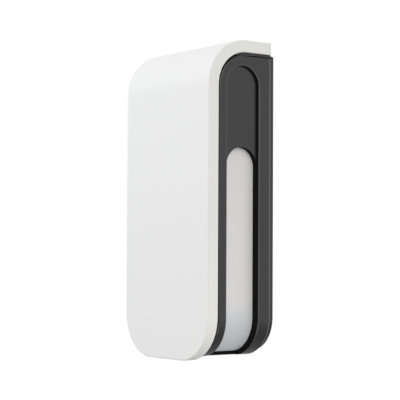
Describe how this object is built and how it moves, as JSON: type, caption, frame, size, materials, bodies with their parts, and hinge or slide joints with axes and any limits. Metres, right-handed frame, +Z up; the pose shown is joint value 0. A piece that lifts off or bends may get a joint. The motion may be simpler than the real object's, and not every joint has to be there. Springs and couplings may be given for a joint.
{
  "type": "outdoor wall motion detector",
  "caption": "Tall wall-mounted outdoor motion detector: white rolled cover that swings up, black housing, and an arched milky lens strip on each side for sensing along the wall.",
  "frame": {"origin": "on the wall plane, midway between the two wall screws", "axes": "+X to the right for someone facing the front, +Y into the wall, +Z up"},
  "size_m": [0.0918, 0.0534, 0.2],
  "materials": {
    "white_plastic": "fine satin moulded surface",
    "black_plastic": "fine matt moulded surface",
    "relay_plastic": "smooth moulded case",
    "lens_film": "milky infrared-clear sheet with fine grooves inside",
    "seal_rubber": "matt soft rubber",
    "zinc_steel": "zinc plated",
    "sensor_can": "nickel plated can",
    "filter_silicon": "dark filter glass",
    "led_resin": "tinted clear resin",
    "can_aluminium": "drawn can",
    "nut_brass": "machined",
    "board_green": "solder mask",
    "terminal_plastic": "moulded",
    "dip_plastic": "moulded",
    "switch_plastic": "moulded",
    "dial_plastic": "moulded",
    "slider_plastic": "moulded"
  },
  "bodies": {
    "unit": {"main_housing": "black_plastic", "rear_base": "black_plastic", "lens_retainer_left": "black_plastic", "lens_retainer_right": "black_plastic", "sensor_carrier": "black_plastic", "sensor_headers": "black_plastic", "microcontroller": "black_plastic", "alarm_relays": "relay_plastic", "lens_left": "lens_film", "lens_right": "lens_film", "housing_seal": "seal_rubber", "cable_grommet": "seal_rubber", "unit_screws": "zinc_steel", "board_screws": "zinc_steel", "carrier_screws": "zinc_steel", "terminal_screws": "zinc_steel", "pyro_left_upper": "sensor_can", "pyro_left_lower": "sensor_can", "pyro_right_upper": "sensor_can", "pyro_right_lower": "sensor_can", "pyro_windows": "filter_silicon", "indicator_leds": "led_resin", "capacitors": "can_aluminium", "main_board": "board_green", "sensor_board_left": "board_green", "sensor_board_right": "board_green", "terminal_block": "terminal_plastic", "dip_switch_body": "dip_plastic", "range_switch_left": "switch_plastic", "range_switch_right": "switch_plastic", "tamper_switch_body": "switch_plastic"},
    "cover": {"front_cover": "white_plastic"},
    "lock_screw": {"cover_lock_screw": "zinc_steel", "lock_screw_ring": "zinc_steel"},
    "lock_nut_body": {"lock_nut": "nut_brass"},
    "tamper": {"tamper_plunger": "dial_plastic"},
    "dial_left": {"range_dial_left": "dial_plastic"},
    "dial_right": {"range_dial_right": "dial_plastic"},
    "slider_1": {"dip_slider_1": "slider_plastic"},
    "slider_2": {"dip_slider_2": "slider_plastic"},
    "slider_3": {"dip_slider_3": "slider_plastic"},
    "slider_4": {"dip_slider_4": "slider_plastic"},
    "slider_5": {"dip_slider_5": "slider_plastic"},
    "slider_6": {"dip_slider_6": "slider_plastic"}
  },
  "joints": [
    {"name": "cover_hinge", "type": "hinge", "parent": "unit", "child": "cover", "pos_m": [0, -0.0055, 0.0935], "axis": [-1, 0, 0], "range_deg": [0, 35]},
    {"name": "lock_screw_turn", "type": "hinge", "parent": "cover", "child": "lock_screw", "pos_m": [0, -0.049, -0.098], "axis": [0, 0, -1], "range_deg": [0, 720]},
    {"name": "lock_nut_travel", "type": "slide", "parent": "cover", "child": "lock_nut_body", "axis": [0, 0, 1], "range_m": [0, 0.0009]},
    {"name": "tamper_travel", "type": "slide", "parent": "unit", "child": "tamper", "axis": [0, -1, 0], "range_m": [0, 0.0012]},
    {"name": "range_left_turn", "type": "hinge", "parent": "unit", "child": "dial_left", "pos_m": [-0.018, -0.0465, -0.006], "axis": [0, 1, 0], "range_deg": [0, 270]},
    {"name": "range_right_turn", "type": "hinge", "parent": "unit", "child": "dial_right", "pos_m": [0.018, -0.0465, -0.006], "axis": [0, 1, 0], "range_deg": [0, 270]},
    {"name": "dip_1_slide", "type": "slide", "parent": "unit", "child": "slider_1", "axis": [0, 0, 1], "range_m": [0, 0.0018]},
    {"name": "dip_2_slide", "type": "slide", "parent": "unit", "child": "slider_2", "axis": [0, 0, 1], "range_m": [-0.0018, 0]},
    {"name": "dip_3_slide", "type": "slide", "parent": "unit", "child": "slider_3", "axis": [0, 0, 1], "range_m": [0, 0.0018]},
    {"name": "dip_4_slide", "type": "slide", "parent": "unit", "child": "slider_4", "axis": [0, 0, 1], "range_m": [0, 0.0018]},
    {"name": "dip_5_slide", "type": "slide", "parent": "unit", "child": "slider_5", "axis": [0, 0, 1], "range_m": [-0.0018, 0]},
    {"name": "dip_6_slide", "type": "slide", "parent": "unit", "child": "slider_6", "axis": [0, 0, 1], "range_m": [0, 0.0018]}
  ],
  "couplings": [
    {"joint": "lock_screw_turn", "follows": "lock_nut_travel", "rad_per_m": 13949},
    {"joint": "tamper_travel", "follows": "cover_hinge", "m_per_rad": 0.0019605}
  ]
}
